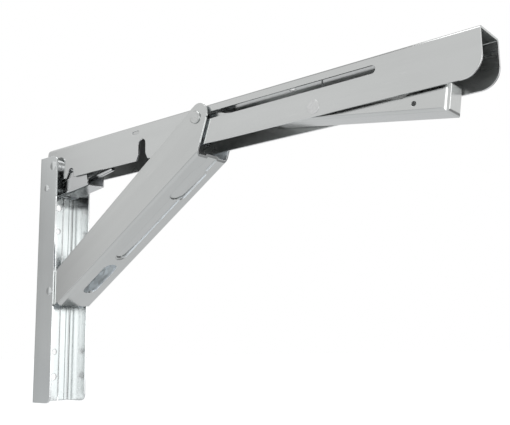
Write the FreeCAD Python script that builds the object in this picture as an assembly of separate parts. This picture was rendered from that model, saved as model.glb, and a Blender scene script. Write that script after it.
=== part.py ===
import FreeCAD, Part
import math
import os

# Fold-down shelf bracket of nested sheet-steel channels, in millimetres.
# X runs out from the wall, Z is up, and the bracket is symmetric about Y = 0.
# The origin is the middle of the wall channel's back face, and it is drawn opened, arm level.

# Wall channel
channel_height = 238.0
channel_depth = 28.0
channel_sheet = 1.5
channel_bend = 2.5
channel_corner = 6.0
bead_offset = 11.0
bead_width = 6.0
bead_slope = 1.0
bead_rise = 0.9

# Screw holes in the wall channel, one above and one below the middle of each pair
wall_hole_centre_z = -12.0
wall_hole_offset = 2.5
outer_wall_hole_spacing = 168.0
outer_wall_hole_radius = 3.25
inner_wall_hole_spacing = 120.0
inner_wall_hole_radius = 2.75

# Arm
arm_length = 452.0
arm_height = 32.8
arm_width = 31.0
arm_sheet = 1.5
arm_bend = 2.0
arm_rise = 8.6
arm_wall_gap = 6.0
arm_top_corner = 5.0
arm_front_radius = 14.0
ear_length = 21.0
ear_depth = 24.0
ear_radius = 6.0
ear_root_radius = 3.0

# Board screw holes along the middle of the arm's web, from the arm's inner end
board_hole_radius = 2.75
outer_board_hole_first = 60.0
outer_board_hole_spacing = 350.0
inner_board_hole_first = 175.0
inner_board_hole_spacing = 120.0

# Shallow oval mark coined into the outside of each arm flank
flank_mark_from_end = 131.0
flank_mark_drop = 6.8
flank_mark_length = 9.0
flank_mark_width = 3.0
flank_mark_depth = 0.6

# Pivots: distance from the wall, and drop below the arm's top face
hinge_x = 22.0
hinge_drop = 18.6
hinge_pin_radius = 4.0
stop_pin_x = 12.5
stop_pin_drop = 40.1
stop_pin_radius = 3.0
brace_pin_x = 22.0
brace_pin_drop = 142.1
brace_pin_radius = 3.5
slide_x = 214.6
slide_drop = 9.6
slide_radius = 3.0
fit_clearance = 0.05
rivet_head_height = 0.6
rivet_head_margin = 0.4
hinge_head_height = 0.6

# Brace
brace_sheet = 1.5
brace_bend = 3.5
brace_foot_lip = 12.0
brace_wall_gap = 2.9
brace_foot_radius = 13.0
brace_foot_web_start = 3.4
brace_head_radius = 9.4
brace_head_edge = 11.8
brace_head_lean = 20.0
brace_side_gap = 1.8
channel_side_gap = 0.3
brace_rivet_head_radius = 6.4
brace_rivet_head_height = 2.0
brace_rivet_rim = 0.6

# Openings and pressed forms in the brace's web, from the foot pivot along the web
window_start = 25.0
window_end = 70.0
window_width = 14.5
groove_start = 77.0
groove_width = 12.0
recess_start = 162.0
recess_end = 206.0
recess_width = 18.0
press_depth = 0.9
press_slope = 0.8

# Sliding bushes in the arm's slots
bush_outer_flange_radius = 6.0
bush_inner_flange_radius = 4.6
bush_inner_flange = 1.2
bush_face_gap = 0.05
bush_to_brace_gap = 0.3
slot_end_gap = 0.4

# Notches in the arm's lower edge
brace_notch_clearance = 1.2
brace_notch_flare = 8.0
brace_notch_flare_height = 5.0
stop_notch_clearance = 1.4
stop_notch_lean = 8.5

# Stop lever under the arm
stop_width_allowance = 7.6
stop_side_offset = -2.8
stop_sheet = 1.5
stop_bend = 2.2
stop_tilt = 7.5
stop_floor_drop = 10.5
stop_floor_start = 16.0
stop_reach = 53.2
stop_flank_rise = 8.5
stop_hub_radius = 6.0
stop_hub_overhang = 0.5
stop_ear_radius = 8.5
stop_heel = 8.0
stop_end_corner = 2.0
rod_radius = 2.7
rod_length = 47.5
rod_start = 32.0
rod_lift = -2.0
rod_rise = 2.5
rod_chamfer = 0.5
rod_block_length = 8.0
rod_block_wall = 1.2

# Release lever inside the arm's outer half; its own outline is measured from its rivet
lever_pivot_from_end = 324.0
lever_pivot_drop = 25.6
lever_rivet_radius = 2.5
lever_rivet_head_radius = 5.4
lever_rivet_head_height = 0.5
lever_width_allowance = 5.4
lever_sheet = 1.2
lever_bend = 2.6
lever_droop = 8.7
lever_travel = 9.0
lever_floor_drop = 8.3
lever_front_reach = 103.5
lever_front_rise = 13.0
lever_front_flat = 20.0
lever_waist_from = 42.0
lever_waist_to = 71.0
lever_waist_rise = 2.0
lever_back_rise = 8.0
lever_back_from = -14.0
lever_back_to = 28.0
lever_floor_start = -42.0
lever_hook_start = -58.0
lever_hook_drop = 5.5
lever_hook_rise = 2.3
lever_side_hole_ahead = 79.0
lever_side_hole_drop = 2.0
lever_side_hole_radius = 1.8
lever_corner = 6.0
lever_end_radius = 3.0
lever_end_bend = 4.2
spacer_wall = 1.5
spacer_gap = 0.3

# Nose of the release lever, from the slide's bush outwards
nose_gap = 0.5
nose_drop = 7.1
nose_flat = 14.0
nose_slope_run = 15.0
nose_root_drop = 12.6
nose_tip_drop = 15.1

# Torsion spring round the lever's rivet
spring_inner_radius = 3.2
spring_wire = 1.2
spring_turns = 5.25
spring_pitch = 1.35
spring_foot_length = 24.0
spring_seat_gap = 0.3

# Places worked out from the sizes above
channel_top = channel_height / 2.0
channel_bottom = -channel_height / 2.0
arm_top = channel_top + arm_rise
arm_start = arm_wall_gap
arm_end = arm_start + arm_length
arm_low = arm_top - arm_height
arm_inner_half = arm_width / 2.0 - arm_sheet
stop_width = 2.0 * arm_inner_half - stop_width_allowance
lever_width = 2.0 * arm_inner_half - lever_width_allowance
brace_inner_half = arm_width / 2.0 + brace_side_gap
brace_outer_half = brace_inner_half + brace_sheet
channel_inner_half = brace_outer_half + channel_side_gap
channel_outer_half = channel_inner_half + channel_sheet
hinge_z = arm_top - hinge_drop
stop_pin_z = arm_top - stop_pin_drop
brace_pin_z = arm_top - brace_pin_drop
slide_z = arm_top - slide_drop
folded_pin_x = hinge_x + slide_z - hinge_z
brace_web_at_foot = brace_pin_x - brace_wall_gap
brace_web_at_head = folded_pin_x - brace_wall_gap
brace_run = slide_x - brace_pin_x
brace_climb = slide_z - brace_pin_z
brace_reach = math.hypot(brace_run, brace_climb)
brace_angle = math.degrees(math.atan2(brace_climb, brace_run))
brace_web_angle = math.degrees(math.asin((brace_web_at_head - brace_web_at_foot) / brace_reach))
brace_web_run = math.sqrt(brace_reach ** 2 - (brace_web_at_head - brace_web_at_foot) ** 2)
folded_drop = math.sqrt(brace_reach ** 2 - (folded_pin_x - brace_pin_x) ** 2)
folded_slide = hinge_z - brace_pin_z + folded_drop
open_slide = slide_x - hinge_x
lever_pivot_x = arm_start + lever_pivot_from_end
lever_pivot_z = arm_top - lever_pivot_drop


def in_xz(a, b):
    return FreeCAD.Vector(a, 0.0, b)


def in_yz(a, b):
    return FreeCAD.Vector(0.0, a, b)


def in_xy(a, b):
    return FreeCAD.Vector(a, b, 0.0)


def rounded_face(points, place):
    """Flat face with corners (a, b, radius), each corner rounded by its radius."""
    edges = []
    starts = []
    count = len(points)
    for i in range(count):
        before = points[i - 1]
        here = points[i]
        after = points[(i + 1) % count]
        corner = place(here[0], here[1])
        if here[2] <= 0.0:
            starts.append((corner, corner, None))
            continue
        back = (place(before[0], before[1]) - corner).normalize()
        ahead = (place(after[0], after[1]) - corner).normalize()
        half = back.getAngle(ahead) / 2.0
        middle = (back + ahead).normalize()
        tangent = here[2] / math.tan(half)
        depth = here[2] / math.sin(half) - here[2]
        starts.append((corner + back * tangent, corner + ahead * tangent, corner + middle * depth))
    for i in range(count):
        first, last, middle = starts[i]
        if middle is not None:
            edges.append(Part.Arc(first, middle, last).toShape())
        next_first = starts[(i + 1) % count][0]
        if last.distanceToPoint(next_first) > 1e-6:
            edges.append(Part.LineSegment(last, next_first).toShape())
    return Part.Face(Part.Wire(edges))


def plate(points, half_width):
    """Solid with a side outline in XZ, from -half_width to +half_width across Y."""
    face = rounded_face(points, in_xz)
    face.translate(FreeCAD.Vector(0, -half_width, 0))
    return face.extrude(FreeCAD.Vector(0, 2.0 * half_width, 0))


def channel_section(width, height, sheet, bend, web_up):
    """Section of a folded channel in YZ, from its web's outer face to its open side."""
    half = width / 2.0
    web = 0.0
    lip = -height if web_up else height
    inner = -sheet if web_up else sheet
    return [
        (-half, lip, 0.0),
        (-half, web, bend),
        (half, web, bend),
        (half, lip, 0.0),
        (half - sheet, lip, 0.0),
        (half - sheet, inner, bend - sheet),
        (-half + sheet, inner, bend - sheet),
        (-half + sheet, lip, 0.0),
    ]


def channel_bar(width, height, sheet, bend, web_up, length):
    face = rounded_face(channel_section(width, height, sheet, bend, web_up), in_yz)
    return face.extrude(FreeCAD.Vector(length, 0, 0))


def rod(radius, x, z, half_width):
    """Round bar across Y, from -half_width to +half_width."""
    return Part.makeCylinder(radius, 2.0 * half_width, FreeCAD.Vector(x, -half_width, z), FreeCAD.Vector(0, 1, 0))


def disc(radius, x, z, y_from, y_to):
    low = min(y_from, y_to)
    return Part.makeCylinder(radius, abs(y_to - y_from), FreeCAD.Vector(x, low, z), FreeCAD.Vector(0, 1, 0))


def oblong(x_from, x_to, z, radius, half_width):
    """Slot-shaped bar across Y with round ends centred on x_from and x_to."""
    middle = Part.makeBox(x_to - x_from, 2.0 * half_width, 2.0 * radius,
                          FreeCAD.Vector(x_from, -half_width, z - radius))
    return middle.fuse([rod(radius, x_from, z, half_width), rod(radius, x_to, z, half_width)]).removeSplitter()


def turned(shape, angle, x, z):
    """Turn about an axis along Y through (x, z); a positive angle lifts what lies towards +X."""
    copy = shape.copy()
    copy.rotate(FreeCAD.Vector(x, 0, z), FreeCAD.Vector(0, 1, 0), -angle)
    return copy


def domed_head(radius, height, x, z, y_seat, side):
    """Low rivet head seated at |y| = y_seat, on the near side (-1) or the far side (+1)."""
    rise = height * 0.65
    ball = (radius ** 2 + rise ** 2) / (2.0 * rise)
    crown = Part.makeSphere(ball, FreeCAD.Vector(x, side * (y_seat + height - ball), z))
    return disc(radius, x, z, side * y_seat, side * (y_seat + height)).common(crown)


def riveted_pin(radius, head_radius, head_height, x, z, half_grip):
    """Cross pin with a low head formed on each end against plates at |y| = half_grip."""
    pin = rod(radius, x, z, half_grip)
    heads = [domed_head(head_radius, head_height, x, z, half_grip, side) for side in (-1, 1)]
    return pin.fuse(heads).removeSplitter()


def make_wall_channel():
    """Ribbed back plate and two flanges, folded from one sheet, open to the room."""
    half = channel_outer_half
    inner = channel_inner_half
    flat = bead_width / 2.0
    foot = flat + bead_slope
    back = []
    front = []
    for centre in (-bead_offset, bead_offset):
        back += [(0.0, centre - foot, 0.0), (bead_rise, centre - flat, 0.0),
                 (bead_rise, centre + flat, 0.0), (0.0, centre + foot, 0.0)]
        front += [(channel_sheet, centre - foot, 0.0), (channel_sheet + bead_rise, centre - flat, 0.0),
                  (channel_sheet + bead_rise, centre + flat, 0.0), (channel_sheet, centre + foot, 0.0)]
    outline = [(0.0, -half, channel_bend)] + back + [(0.0, half, channel_bend)]
    outline += [(channel_depth, half, 0.0), (channel_depth, inner, 0.0)]
    outline += [(channel_sheet, inner, channel_bend - channel_sheet)] + front[::-1]
    outline += [(channel_sheet, -inner, channel_bend - channel_sheet)]
    outline += [(channel_depth, -inner, 0.0), (channel_depth, -half, 0.0)]
    body = rounded_face(outline, in_xy).extrude(FreeCAD.Vector(0, 0, channel_height))
    body.translate(FreeCAD.Vector(0, 0, channel_bottom))
    side = plate([(0.0, channel_bottom, 0.0), (0.0, channel_top, 0.0),
                  (channel_depth, channel_top, channel_corner),
                  (channel_depth, channel_bottom, channel_corner)], half)
    body = body.common(side)
    for spacing, radius in ((outer_wall_hole_spacing, outer_wall_hole_radius),
                            (inner_wall_hole_spacing, inner_wall_hole_radius)):
        for sign in (-0.5, 0.5):
            z = wall_hole_centre_z + sign * spacing
            body = body.cut(Part.makeCylinder(radius, channel_depth, FreeCAD.Vector(-1, wall_hole_offset, z),
                                              FreeCAD.Vector(1, 0, 0)))
    for radius, x, z in ((hinge_pin_radius, hinge_x, hinge_z), (stop_pin_radius, stop_pin_x, stop_pin_z),
                         (brace_pin_radius, brace_pin_x, brace_pin_z)):
        body = body.cut(rod(radius, x, z, half + 1.0))
    return body


def make_arm():
    """One continuous channel with its web on top, slotted and notched to fold over the pins."""
    bar = channel_bar(arm_width, arm_height, arm_sheet, arm_bend, True, arm_length)
    bar.translate(FreeCAD.Vector(arm_start, 0, arm_top))
    ear_low = arm_top - ear_depth
    ear_end = arm_start + ear_length
    outline = plate([(arm_start, arm_top, arm_top_corner), (arm_end, arm_top, 0.0),
                     (arm_end, arm_low, arm_front_radius), (ear_end, arm_low, 1.0),
                     (ear_end, ear_low, ear_root_radius), (arm_start, ear_low, ear_radius)],
                    arm_width / 2.0)
    body = bar.common(outline)
    across = arm_width / 2.0 + 1.0
    slot_radius = slide_radius + fit_clearance
    body = body.cut(oblong(slide_x - slot_end_gap, hinge_x + folded_slide + slot_end_gap, slide_z,
                           slot_radius, across))
    body = body.cut(rod(hinge_pin_radius + fit_clearance, hinge_x, hinge_z, across))
    body = body.cut(rod(lever_rivet_radius, lever_pivot_x, lever_pivot_z, across))
    for cutter in (brace_pin_notch(across), stop_pin_notch(across)):
        body = body.cut(cutter)
    oval_x = arm_start + flank_mark_from_end
    half_oval = (flank_mark_length - flank_mark_width) / 2.0
    outer = arm_width / 2.0
    coin = oblong(oval_x - half_oval, oval_x + half_oval, arm_top - flank_mark_drop, flank_mark_width / 2.0, across)
    body = body.cut(coin.cut(Part.makeBox(arm_length, 2.0 * (outer - flank_mark_depth), arm_height,
                                          FreeCAD.Vector(arm_start, flank_mark_depth - outer, arm_low))))
    for first, spacing in ((outer_board_hole_first, outer_board_hole_spacing),
                           (inner_board_hole_first, inner_board_hole_spacing)):
        for x in (arm_start + first, arm_start + first + spacing):
            body = body.cut(Part.makeCylinder(board_hole_radius, 2.0 * arm_sheet + 1.0,
                                              FreeCAD.Vector(x, 0, arm_top - 2.0 * arm_sheet)))
    return body


def brace_pin_notch(across):
    """Tall notch that closes over the brace's foot pin when the arm is folded."""
    x = hinge_x + hinge_z - brace_pin_z
    crown = hinge_z + brace_pin_x - hinge_x
    half = brace_pin_radius + brace_notch_clearance
    mouth = arm_low + brace_notch_flare_height
    flare = plate([(x - half, crown, 0.0), (x + half, crown, 0.0), (x + half, mouth, 4.0),
                   (x + brace_notch_flare, arm_low - 1.0, 0.0), (x - brace_notch_flare, arm_low - 1.0, 0.0),
                   (x - half, mouth, 4.0)], across)
    return flare.fuse(rod(half, x, crown, across)).removeSplitter()


def stop_pin_notch(across):
    """Notch that closes over the stop lever's pin when the arm is folded."""
    x = hinge_x + hinge_z - stop_pin_z
    z = hinge_z + stop_pin_x - hinge_x
    radius = stop_pin_radius + stop_notch_clearance
    mouth = plate([(x - radius * 0.94, z + radius * 0.34, 0.0), (x + radius, z, 0.0),
                   (x + radius, arm_low - 1.0, 0.0), (x - stop_notch_lean, arm_low - 1.0, 0.0)], across)
    return mouth.fuse(rod(radius, x, z, across)).removeSplitter()


def make_brace():
    """Channel strut, open towards the wall, that wraps outside the arm at its head."""
    foot_x = brace_pin_x
    foot_z = brace_pin_z
    web_z = foot_z - brace_web_at_foot
    head_x = foot_x + brace_web_run
    head_z = web_z + brace_web_at_head
    crest_z = head_z + brace_head_radius
    start = foot_x - brace_foot_radius - 2.0
    bar = channel_bar(2.0 * brace_outer_half, crest_z - web_z, brace_sheet, brace_bend, False,
                      head_x + 3.0 * brace_head_radius - start)
    bar.translate(FreeCAD.Vector(start, 0, web_z))
    lean = math.radians(brace_angle - brace_web_angle + brace_head_lean)
    edge_x = head_x + brace_head_edge / math.cos(lean)
    high_run = brace_head_radius * math.tan(lean)
    low_run = (head_z - web_z) * math.tan(lean)
    foot_end = foot_x - brace_foot_radius
    web_clear = web_z + brace_bend + 1.0
    bar = press_brace_web(bar, foot_x, web_z, edge_x)
    outline = plate([(foot_end, foot_z + brace_foot_lip, brace_foot_radius * 0.9),
                     (foot_x, foot_z + brace_foot_lip, 0.0), (head_x, crest_z, 0.0),
                     (edge_x + high_run, crest_z, brace_head_radius),
                     (edge_x - low_run, web_z, 0.0), (foot_x + brace_foot_web_start, web_z, 0.0),
                     (foot_x + brace_foot_web_start, web_clear, 1.0),
                     (foot_end, web_clear, brace_foot_radius * 0.8)], brace_outer_half)
    body = bar.common(outline)
    half_window = window_width / 2.0
    body = body.cut(upright_oblong(foot_x + window_start + half_window, foot_x + window_end - half_window,
                                   half_window, half_window, web_z - 1.0, web_z + brace_sheet + 1.0))
    across = brace_outer_half + 1.0
    body = body.cut(rod(brace_pin_radius + fit_clearance, foot_x, foot_z, across))
    body = body.cut(rod(slide_radius, head_x, head_z, across))
    return turned(body.removeSplitter(), brace_angle - brace_web_angle, foot_x, foot_z)


def upright_oblong(x_from, x_to, low_radius, high_radius, z_from, z_to):
    """Bar along Z with round ends centred on x_from and x_to, in the plane Y = 0; its sides may slope."""
    height = z_to - z_from
    sections = []
    for radius, z in ((low_radius, z_from), (high_radius, z_to)):
        first = FreeCAD.Vector(x_from, 0, z)
        last = FreeCAD.Vector(x_to, 0, z)
        side = FreeCAD.Vector(0, radius, 0)
        tip = FreeCAD.Vector(radius, 0, 0)
        sections.append(Part.Wire([
            Part.LineSegment(first - side, last - side).toShape(),
            Part.Arc(last - side, last + tip, last + side).toShape(),
            Part.LineSegment(last + side, first + side).toShape(),
            Part.Arc(first + side, first - tip, first - side).toShape()]))
    if abs(low_radius - high_radius) < 1e-6:
        return Part.Face(sections[0]).extrude(FreeCAD.Vector(0, 0, height))
    return Part.makeLoft(sections, True, True)


def press_brace_web(bar, foot_x, web_z, edge_x):
    """Press a long groove, open at the head's end, and a wider recess across it into the web, with sloped sides."""
    half_groove = groove_width / 2.0
    half_recess = recess_width / 2.0
    forms = [(foot_x + groove_start + half_groove, edge_x + recess_width, half_groove),
             (foot_x + recess_start + half_recess, foot_x + recess_end - half_recess, half_recess)]
    back = web_z + brace_sheet
    for x_from, x_to, radius in forms:
        bar = bar.fuse(upright_oblong(x_from, x_to, radius + brace_sheet, radius + brace_sheet - press_slope,
                                      back - press_depth * 0.2, back + press_depth))
    for x_from, x_to, radius in forms:
        bar = bar.cut(upright_oblong(x_from, x_to, radius, radius - press_slope, web_z, web_z + press_depth))
    return bar


def make_brace_rivet(side):
    """Rivet that closes the brace's head: a broad low head, a rim ring and a stub in the plate."""
    head = domed_head(brace_rivet_head_radius, brace_rivet_head_height, slide_x, slide_z, brace_outer_half, side)
    ring = disc(brace_rivet_head_radius + brace_rivet_rim, slide_x, slide_z, side * brace_outer_half,
                side * (brace_outer_half + brace_rivet_rim))
    stub = disc(slide_radius, slide_x, slide_z, side * brace_inner_half, side * brace_outer_half)
    return head.fuse([ring, stub]).removeSplitter()


def make_slide_bush(side):
    """Flanged bush that runs in one of the arm's slots."""
    outer_face = arm_width / 2.0
    inner_face = arm_inner_half
    outer = disc(bush_outer_flange_radius, slide_x, slide_z, side * (outer_face + bush_face_gap),
                 side * (brace_inner_half - bush_to_brace_gap))
    shank = disc(slide_radius, slide_x, slide_z, side * (inner_face - bush_face_gap),
                 side * (outer_face + bush_face_gap))
    inner = disc(bush_inner_flange_radius, slide_x, slide_z, side * (inner_face - bush_face_gap),
                 side * (inner_face - bush_face_gap - bush_inner_flange))
    return outer.fuse([shank, inner]).removeSplitter()


def make_hinge_washer(side):
    """Spacer between the arm's ear and the wall channel's flange."""
    ring = disc(hinge_pin_radius + 3.0, hinge_x, hinge_z, side * (arm_width / 2.0 + fit_clearance),
                side * channel_inner_half)
    return ring.cut(rod(hinge_pin_radius, hinge_x, hinge_z, channel_outer_half))


def tube(outer_radius, inner_radius, x, z, half_width):
    return rod(outer_radius, x, z, half_width).cut(rod(inner_radius, x, z, half_width + 1.0))


def set_stop_piece(shape):
    """Tilt a piece of the stop lever about its pin and set it to its side of the bracket."""
    piece = turned(shape, stop_tilt, stop_pin_x, stop_pin_z)
    piece.translate(FreeCAD.Vector(0, stop_side_offset, 0))
    return piece


def make_stop_lever():
    """Short channel on the upper cross pin, with its floor under the arm."""
    x = stop_pin_x
    z = stop_pin_z
    floor = z - stop_floor_drop
    back = x - stop_ear_radius
    height = stop_floor_drop + stop_flank_rise
    bar = channel_bar(stop_width, height, stop_sheet, stop_bend, False, stop_ear_radius + stop_reach)
    bar.translate(FreeCAD.Vector(back, 0, floor))
    flank = plate([(back, z - stop_ear_radius * 0.45, stop_ear_radius * 0.35),
                   (x + stop_heel, floor, 4.0), (x + stop_reach, floor, 0.0),
                   (x + stop_reach, z + stop_flank_rise, stop_end_corner),
                   (x + stop_ear_radius, z + stop_flank_rise, 4.0),
                   (back, z + stop_ear_radius * 0.6, stop_ear_radius * 0.6)], stop_width / 2.0)
    body = bar.common(flank)
    inside = stop_width / 2.0 - stop_sheet
    open_floor = Part.makeBox(stop_ear_radius + stop_floor_start, 2.0 * inside, stop_sheet + stop_bend,
                              FreeCAD.Vector(back, -inside, floor - 1.0))
    body = body.cut(open_floor)
    body = body.cut(rod(stop_hub_radius, x, z, stop_width))
    return set_stop_piece(body.removeSplitter())


def make_stop_hub():
    """Tube that joins the stop lever's two ears and turns on the upper cross pin."""
    half = stop_width / 2.0 + stop_hub_overhang
    return set_stop_piece(tube(stop_hub_radius, stop_pin_radius + fit_clearance, stop_pin_x, stop_pin_z, half))


def set_rod_piece(shape):
    """Lean a piece of the rod up from its seat, then set it with the stop lever."""
    return set_stop_piece(turned(shape, rod_rise, stop_pin_x + rod_start, stop_pin_z + rod_lift))


def make_stop_rod():
    """Slim rod held in a small block on the stop lever's floor, pointing up under the arm."""
    x = stop_pin_x
    z = stop_pin_z + rod_lift
    bar = Part.makeCylinder(rod_radius, rod_length, FreeCAD.Vector(x + rod_start, 0, z), FreeCAD.Vector(1, 0, 0))
    tips = [edge for edge in bar.Edges if edge.Closed]
    return set_rod_piece(bar.makeChamfer(rod_chamfer, tips))


def make_rod_block():
    """Block that seats the rod on the stop lever's floor."""
    x = stop_pin_x + rod_start + 1.0
    seat = stop_pin_z - stop_floor_drop + stop_sheet
    axis_z = stop_pin_z + rod_lift
    half = rod_radius + rod_block_wall
    top = axis_z + half
    block = Part.makeBox(rod_block_length, 2.0 * half, top - seat, FreeCAD.Vector(x, -half, seat))
    upper = [edge for edge in block.Edges
             if abs(edge.BoundBox.ZMin - top) < 1e-6 and edge.BoundBox.XLength > rod_block_length / 2.0]
    block = block.makeFillet(rod_radius, upper)
    bore = Part.makeCylinder(rod_radius, rod_block_length + 2.0 * rod_radius,
                             FreeCAD.Vector(x - rod_radius, 0, axis_z), FreeCAD.Vector(1, 0, 0))
    bore = turned(bore, rod_rise, stop_pin_x + rod_start, axis_z)
    return set_stop_piece(block.cut(bore))


def lever_solid(inset):
    """Solid lever body set in by inset, before it is tilted: taking one from another leaves the shell."""
    x = lever_pivot_x
    floor = lever_pivot_z - lever_floor_drop + inset
    top = lever_pivot_z + lever_front_rise
    front = x + lever_front_reach - inset
    tail = slide_x - inset
    half = lever_width / 2.0 - inset
    section = rounded_face([(-half, top + inset, 0.0), (-half, floor, lever_bend - inset),
                            (half, floor, lever_bend - inset), (half, top + inset, 0.0)], in_yz)
    solid = section.extrude(FreeCAD.Vector(front - tail, 0, 0))
    solid.translate(FreeCAD.Vector(tail, 0, 0))
    side = plate([(tail, floor, 0.0), (front, floor, lever_bend - inset),
                  (front, top + inset, 0.0), (tail, top + inset, 0.0)], half)
    corner = lever_end_bend - inset
    plan = rounded_face([(tail, -half, 0.0), (front, -half, corner), (front, half, corner),
                         (tail, half, 0.0)], in_xy).extrude(FreeCAD.Vector(0, 0, 2.0 * arm_height))
    plan.translate(FreeCAD.Vector(0, 0, floor - arm_height))
    return solid.common(side).common(plan)


def make_release_lever():
    """Long pressed lever: squeezed up at its front, it drops its nose out of the slot."""
    x = lever_pivot_x
    z = lever_pivot_z
    floor = z - lever_floor_drop
    front = x + lever_front_reach
    tail = slide_x
    waist = z + lever_waist_rise
    flank = plate([(front, floor, 0.0), (front, z + lever_front_rise, lever_end_radius),
                   (front - lever_front_flat, z + lever_front_rise, 2.0),
                   (x + lever_waist_to, waist, lever_corner), (x + lever_waist_from, waist, lever_corner),
                   (x + lever_back_to, z + lever_back_rise, lever_corner),
                   (x + lever_back_from, z + lever_back_rise, lever_corner),
                   (x + lever_hook_start, z + lever_hook_rise, lever_corner), (tail, z + lever_hook_rise, 0.0),
                   (tail, z - lever_hook_drop, 0.0), (x + lever_hook_start, z - lever_hook_drop, lever_corner),
                   (x + lever_floor_start, floor, 0.0)], lever_width / 2.0)
    body = lever_solid(0.0).cut(lever_solid(lever_sheet)).common(flank)
    body = trim_to_nose(turned(body, -lever_droop, x, z))
    across = lever_width
    body = body.cut(rod(lever_rivet_radius + fit_clearance, x, z, across))
    side_hole = rod(lever_side_hole_radius, x + lever_side_hole_ahead, z - lever_side_hole_drop, across)
    return body.cut(turned(side_hole, -lever_droop, x, z)).removeSplitter()


def trim_to_nose(body):
    """Stop both flanks short of the slide's bush and add the hooked nose on each of them."""
    tip_x = slide_x + bush_inner_flange_radius + nose_gap
    root_x = tip_x + nose_flat + nose_slope_run
    behind = Part.makeBox(tip_x, 2.0 * lever_width, 4.0 * arm_height,
                          FreeCAD.Vector(0, -lever_width, arm_low - arm_height))
    outline = [(tip_x, arm_top - nose_tip_drop, 2.0), (tip_x, arm_top - nose_drop, 1.0),
               (tip_x + nose_flat, arm_top - nose_drop, 2.0), (root_x, arm_top - nose_root_drop, 3.0),
               (root_x + nose_flat, arm_top - nose_tip_drop, 0.0),
               (root_x, arm_top - nose_tip_drop - 2.0, 0.0)]
    nose = plate(outline, lever_width / 2.0).cut(plate(outline, lever_width / 2.0 - lever_sheet))
    return body.cut(behind).fuse(nose)


def make_lever_spring():
    """Torsion spring on the rivet: one leg lies on the lever's floor, the other pushes on the arm's web."""
    mean = spring_inner_radius + spring_wire / 2.0
    rise = spring_turns * spring_pitch
    helix = Part.makeHelix(spring_pitch, rise, mean)
    ring = Part.Wire(Part.makeCircle(spring_wire / 2.0, FreeCAD.Vector(mean, 0, 0), FreeCAD.Vector(0, 1, 0)))
    coil = Part.Wire(helix.Edges).makePipeShell([ring], True, True)
    foot = Part.makeCylinder(spring_wire / 2.0, spring_foot_length, FreeCAD.Vector(mean, 0, 0),
                             FreeCAD.Vector(0, -1, 0))
    reach = lever_pivot_drop - arm_sheet - spring_seat_gap
    leg = Part.makeCylinder(spring_wire / 2.0, reach, FreeCAD.Vector(0, mean, rise), FreeCAD.Vector(-1, 0, 0))
    spring = coil.fuse([foot, leg])
    # The coil is wound about Z: lay it on its side, with the foot along the lever and the leg upright.
    spring.translate(FreeCAD.Vector(0, 0, -rise / 2.0))
    spring.rotate(FreeCAD.Vector(0, 0, 0), FreeCAD.Vector(1, 0, 0), -90)
    spring.rotate(FreeCAD.Vector(0, 0, 0), FreeCAD.Vector(0, 1, 0), 90)
    spring.translate(FreeCAD.Vector(lever_pivot_x, 0, lever_pivot_z))
    return spring


def make_lever_spacer(side):
    """Washer on the lever's rivet between the lever's flank and the arm's flank."""
    return disc(lever_rivet_radius + spacer_wall, lever_pivot_x, lever_pivot_z,
                side * (lever_width / 2.0 + spacer_gap), side * arm_inner_half).cut(
                    rod(lever_rivet_radius, lever_pivot_x, lever_pivot_z, arm_width))


def make_parts():
    parts = {}
    parts["wall_channel"] = make_wall_channel()
    parts["arm_channel"] = make_arm()
    parts["brace_channel"] = make_brace()
    parts["arm_hinge_pin"] = riveted_pin(hinge_pin_radius, hinge_pin_radius + rivet_head_margin,
                                         hinge_head_height, hinge_x, hinge_z, channel_outer_half)
    parts["stop_pin"] = riveted_pin(stop_pin_radius, stop_pin_radius + rivet_head_margin,
                                    rivet_head_height, stop_pin_x, stop_pin_z, channel_outer_half)
    parts["brace_foot_pin"] = riveted_pin(brace_pin_radius, brace_pin_radius + rivet_head_margin,
                                          rivet_head_height, brace_pin_x, brace_pin_z, channel_outer_half)
    parts["lever_rivet"] = riveted_pin(lever_rivet_radius, lever_rivet_head_radius,
                                       lever_rivet_head_height, lever_pivot_x, lever_pivot_z, arm_width / 2.0)
    for name, side in (("near", -1), ("far", 1)):
        parts["brace_rivet_" + name] = make_brace_rivet(side)
        parts["slide_bush_" + name] = make_slide_bush(side)
        parts["hinge_washer_" + name] = make_hinge_washer(side)
        parts["lever_spacer_" + name] = make_lever_spacer(side)
    parts["stop_hub"] = make_stop_hub()
    parts["stop_lever"] = make_stop_lever()
    parts["stop_rod"] = make_stop_rod()
    parts["stop_rod_block"] = make_rod_block()
    parts["release_lever"] = make_release_lever()
    parts["lever_spring"] = make_lever_spring()
    return parts


def main():
    os.makedirs("parts", exist_ok=True)
    for name, shape in make_parts().items():
        print(name, "solids", len(shape.Solids), "valid", shape.isValid(), "volume %.1f" % shape.Volume)
        shape.exportStep("parts/" + name + ".step")
    print("brace angle %.3f, folded slide %.3f, travel %.3f" % (brace_angle, folded_slide, folded_slide - open_slide))


main()
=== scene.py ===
import math

import bpy
from mathutils import Matrix, Vector


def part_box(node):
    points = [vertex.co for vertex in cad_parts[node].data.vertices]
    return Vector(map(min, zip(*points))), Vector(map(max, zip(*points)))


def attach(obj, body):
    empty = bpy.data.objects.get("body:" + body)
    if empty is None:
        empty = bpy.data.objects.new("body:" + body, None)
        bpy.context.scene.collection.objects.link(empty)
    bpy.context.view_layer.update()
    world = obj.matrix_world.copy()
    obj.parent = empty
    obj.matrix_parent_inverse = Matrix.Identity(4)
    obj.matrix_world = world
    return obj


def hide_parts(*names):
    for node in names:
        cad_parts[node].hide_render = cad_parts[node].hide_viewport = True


bl_info = {
    "name": "Folding bracket",
    "version": (1, 0, 0),
    "blender": (4, 5, 0),
    "location": "3D View > Sidebar > Bracket",
    "description": "Finishes and stage for a fold-down shelf bracket made of nested sheet-steel channels",
    "category": "Object",
}

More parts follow.
